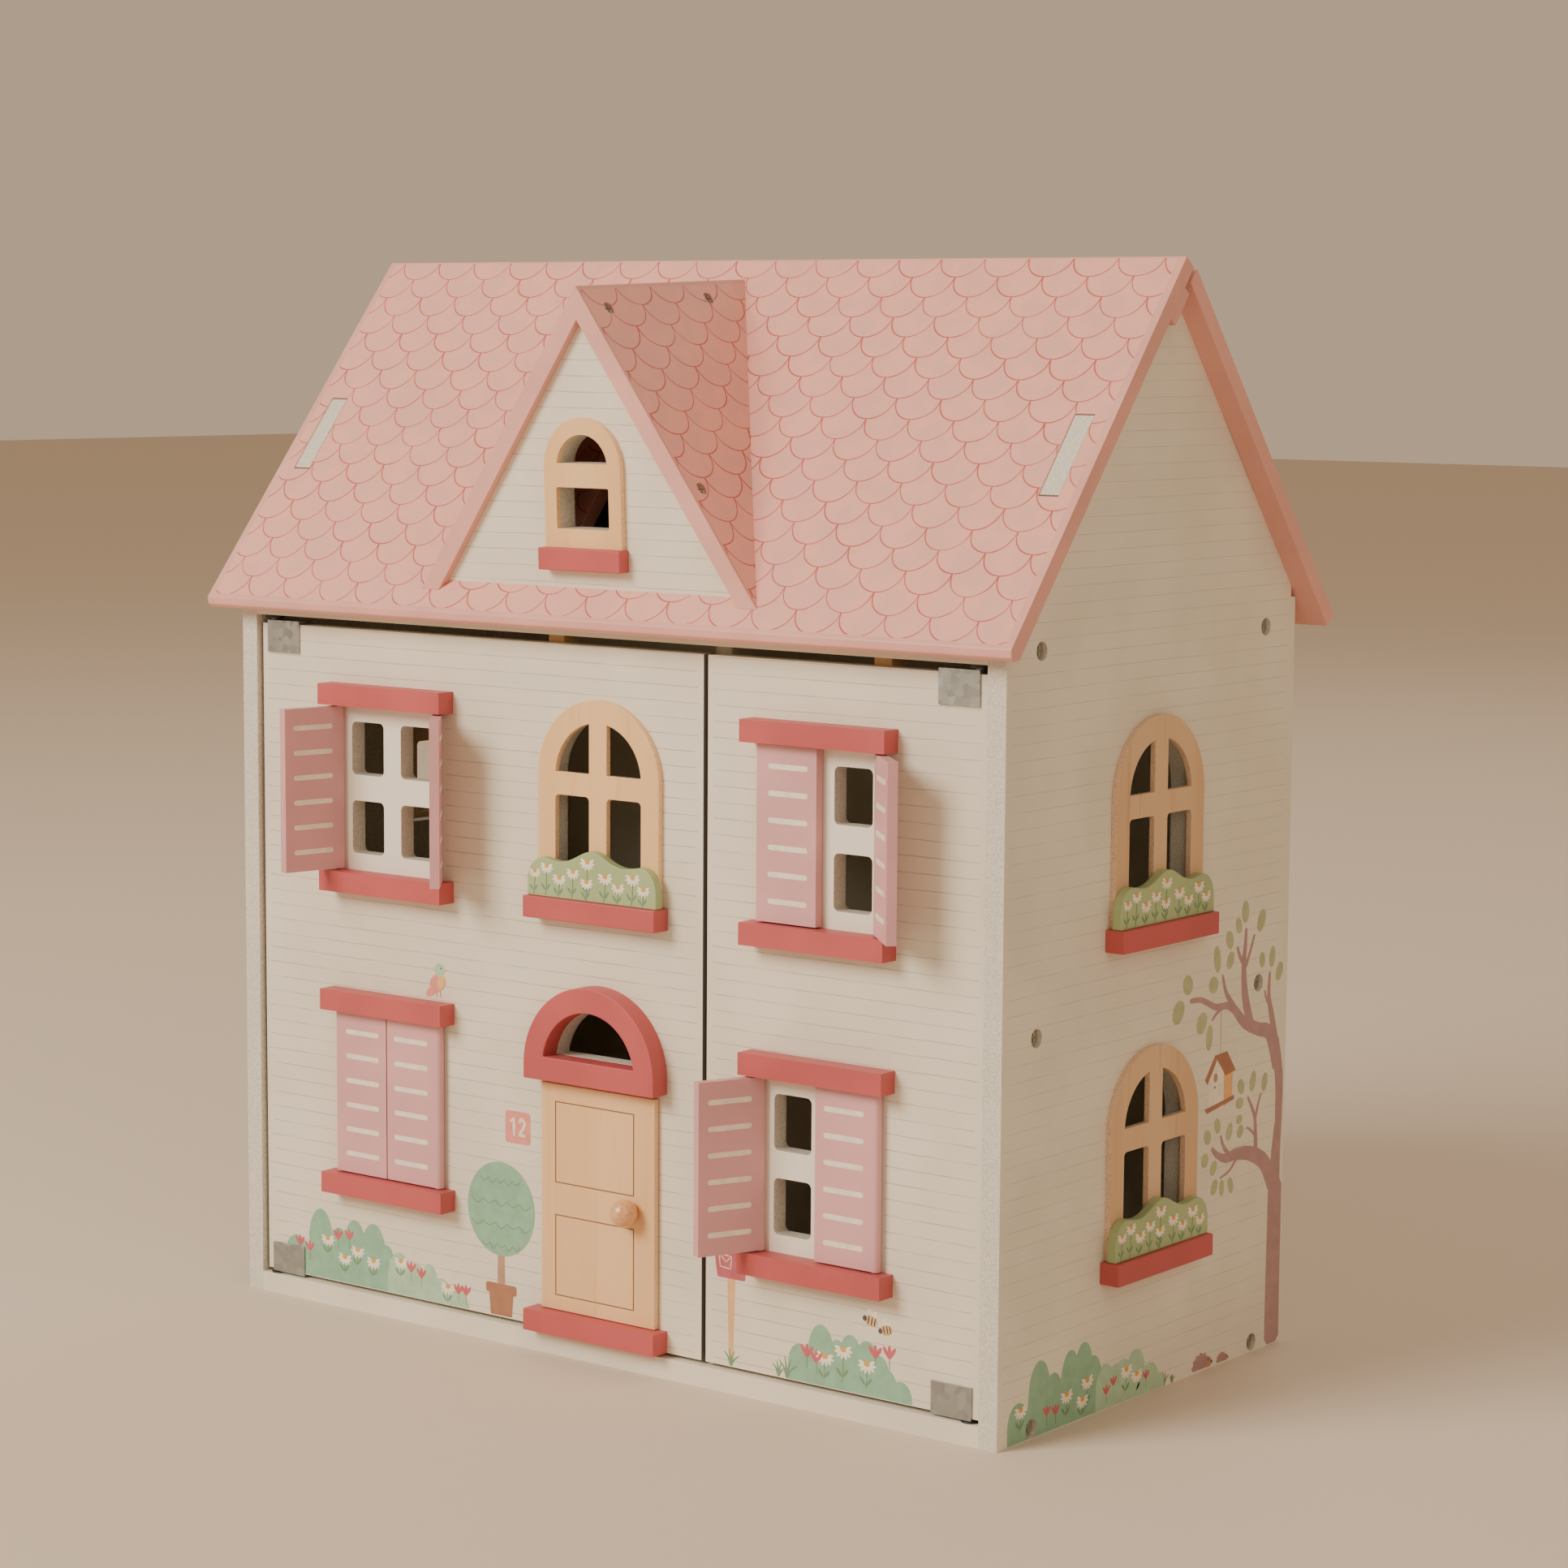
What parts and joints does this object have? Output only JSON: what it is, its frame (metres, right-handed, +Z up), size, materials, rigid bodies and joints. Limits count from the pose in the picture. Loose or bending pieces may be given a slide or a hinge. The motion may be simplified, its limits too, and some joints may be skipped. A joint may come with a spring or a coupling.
{
  "type": "wooden dollhouse",
  "caption": "Two-storey wooden dollhouse with an attic, swinging front doors, shuttered windows, a small entry door and a hinged front roof with a dormer.",
  "frame": {"origin": "centre of the underside, on the surface the house stands on", "axes": "+X to the right seen from the front, +Y to the back, +Z up"},
  "size_m": [0.493, 0.2957, 0.5285],
  "materials": {
    "white_paint": "satin off-white paint, clapboard lines printed on",
    "pink_paint": "satin pale pink paint, scalloped tiles printed on",
    "coral_paint": "satin coral paint",
    "mauve_paint": "satin mauve-pink paint, pale stripes",
    "natural_ply": "clear matt lacquer on light plywood",
    "sage_paint": "satin sage green paint, printed daisies",
    "natural_knob": "clear gloss lacquer",
    "zinc": "dull zinc plating",
    "screw_steel": "bright zinc plating",
    "black_plastic": "moulded, matt"
  },
  "bodies": {
    "house": {"left_wall": "white_paint", "right_wall": "white_paint", "base_board": "white_paint", "first_floor": "white_paint", "attic_floor": "white_paint", "back_panel": "white_paint", "ground_partition": "white_paint", "upper_partition": "white_paint", "rear_roof": "pink_paint", "wall_screws": "screw_steel", "back_screws": "screw_steel", "right_upper_window": "natural_ply", "right_lower_window": "natural_ply", "right_side_sills": "coral_paint", "right_side_planters": "sage_paint", "left_upper_window": "natural_ply", "left_lower_window": "natural_ply", "left_side_sills": "coral_paint", "left_side_planters": "sage_paint", "pivot_sockets": "black_plastic", "door_stops": "natural_ply", "rear_hinge_leaves": "screw_steel", "roof_hinge_pins": "screw_steel"},
    "roof_flap": {"front_roof": "pink_paint", "ridge_cleat": "pink_paint", "dormer_gable": "white_paint", "dormer_left_roof": "pink_paint", "dormer_right_roof": "pink_paint", "dormer_window": "natural_ply", "dormer_sill": "coral_paint", "dormer_screws": "screw_steel", "front_hinge_leaves": "screw_steel"},
    "left_door": {"left_door_panel": "white_paint", "left_door_brackets": "zinc", "left_lintels": "coral_paint", "left_sills": "coral_paint", "arched_window": "natural_ply", "arched_planter": "sage_paint", "arched_sill": "coral_paint", "doorway_arch": "coral_paint", "door_step": "coral_paint", "left_shutter_pins": "screw_steel", "entry_door_pins": "screw_steel"},
    "right_door": {"right_door_panel": "white_paint", "right_door_brackets": "zinc", "right_lintels": "coral_paint", "right_sills": "coral_paint", "right_shutter_pins": "screw_steel"},
    "entry_leaf": {"entry_door": "natural_ply", "door_knob": "natural_knob"},
    "upper_left_shutter_l": {"upper_left_shutter_l": "mauve_paint"},
    "upper_left_shutter_r": {"upper_left_shutter_r": "mauve_paint"},
    "lower_left_shutter_l": {"lower_left_shutter_l": "mauve_paint"},
    "lower_left_shutter_r": {"lower_left_shutter_r": "mauve_paint"},
    "upper_right_shutter_l": {"upper_right_shutter_l": "mauve_paint"},
    "upper_right_shutter_r": {"upper_right_shutter_r": "mauve_paint"},
    "lower_right_shutter_l": {"lower_right_shutter_l": "mauve_paint"},
    "lower_right_shutter_r": {"lower_right_shutter_r": "mauve_paint"}
  },
  "joints": [
    {"name": "roof_hinge", "type": "hinge", "parent": "house", "child": "roof_flap", "pos_m": [0, 0.00918, 0.52524], "axis": [-1, 0, 0], "range_deg": [0, 150]},
    {"name": "left_door_hinge", "type": "hinge", "parent": "house", "child": "left_door", "pos_m": [-0.2173, -0.117, 0.178], "axis": [0, 0, -1], "range_deg": [0, 120]},
    {"name": "right_door_hinge", "type": "hinge", "parent": "house", "child": "right_door", "pos_m": [0.2173, -0.117, 0.178], "axis": [0, 0, 1], "range_deg": [0, 120]},
    {"name": "entry_door_hinge", "type": "hinge", "parent": "left_door", "child": "entry_leaf", "pos_m": [-0.0323, -0.1214, 0.078], "axis": [0, 0, -1], "range_deg": [0, 105]},
    {"name": "upper_left_shutter_l_hinge", "type": "hinge", "parent": "left_door", "child": "upper_left_shutter_l", "pos_m": [-0.1675, -0.1225, 0.2664], "axis": [0, 0, -1], "range_deg": [-103, 67]},
    {"name": "upper_left_shutter_r_hinge", "type": "hinge", "parent": "left_door", "child": "upper_left_shutter_r", "pos_m": [-0.1007, -0.1225, 0.2664], "axis": [0, 0, 1], "range_deg": [-130, 40]},
    {"name": "lower_left_shutter_l_hinge", "type": "hinge", "parent": "left_door", "child": "lower_left_shutter_l", "pos_m": [-0.1675, -0.1225, 0.1124], "axis": [0, 0, -1], "range_deg": [0, 170]},
    {"name": "lower_left_shutter_r_hinge", "type": "hinge", "parent": "left_door", "child": "lower_left_shutter_r", "pos_m": [-0.1007, -0.1225, 0.1124], "axis": [0, 0, 1], "range_deg": [0, 170]},
    {"name": "upper_right_shutter_l_hinge", "type": "hinge", "parent": "right_door", "child": "upper_right_shutter_l", "pos_m": [0.10063, -0.1225, 0.2664], "axis": [0, 0, -1], "range_deg": [0, 170]},
    {"name": "upper_right_shutter_r_hinge", "type": "hinge", "parent": "right_door", "child": "upper_right_shutter_r", "pos_m": [0.16742, -0.1225, 0.2664], "axis": [0, 0, 1], "range_deg": [-136, 34]},
    {"name": "lower_right_shutter_l_hinge", "type": "hinge", "parent": "right_door", "child": "lower_right_shutter_l", "pos_m": [0.10063, -0.1225, 0.1124], "axis": [0, 0, -1], "range_deg": [-114, 56]},
    {"name": "lower_right_shutter_r_hinge", "type": "hinge", "parent": "right_door", "child": "lower_right_shutter_r", "pos_m": [0.16742, -0.1225, 0.1124], "axis": [0, 0, 1], "range_deg": [0, 170]}
  ]
}
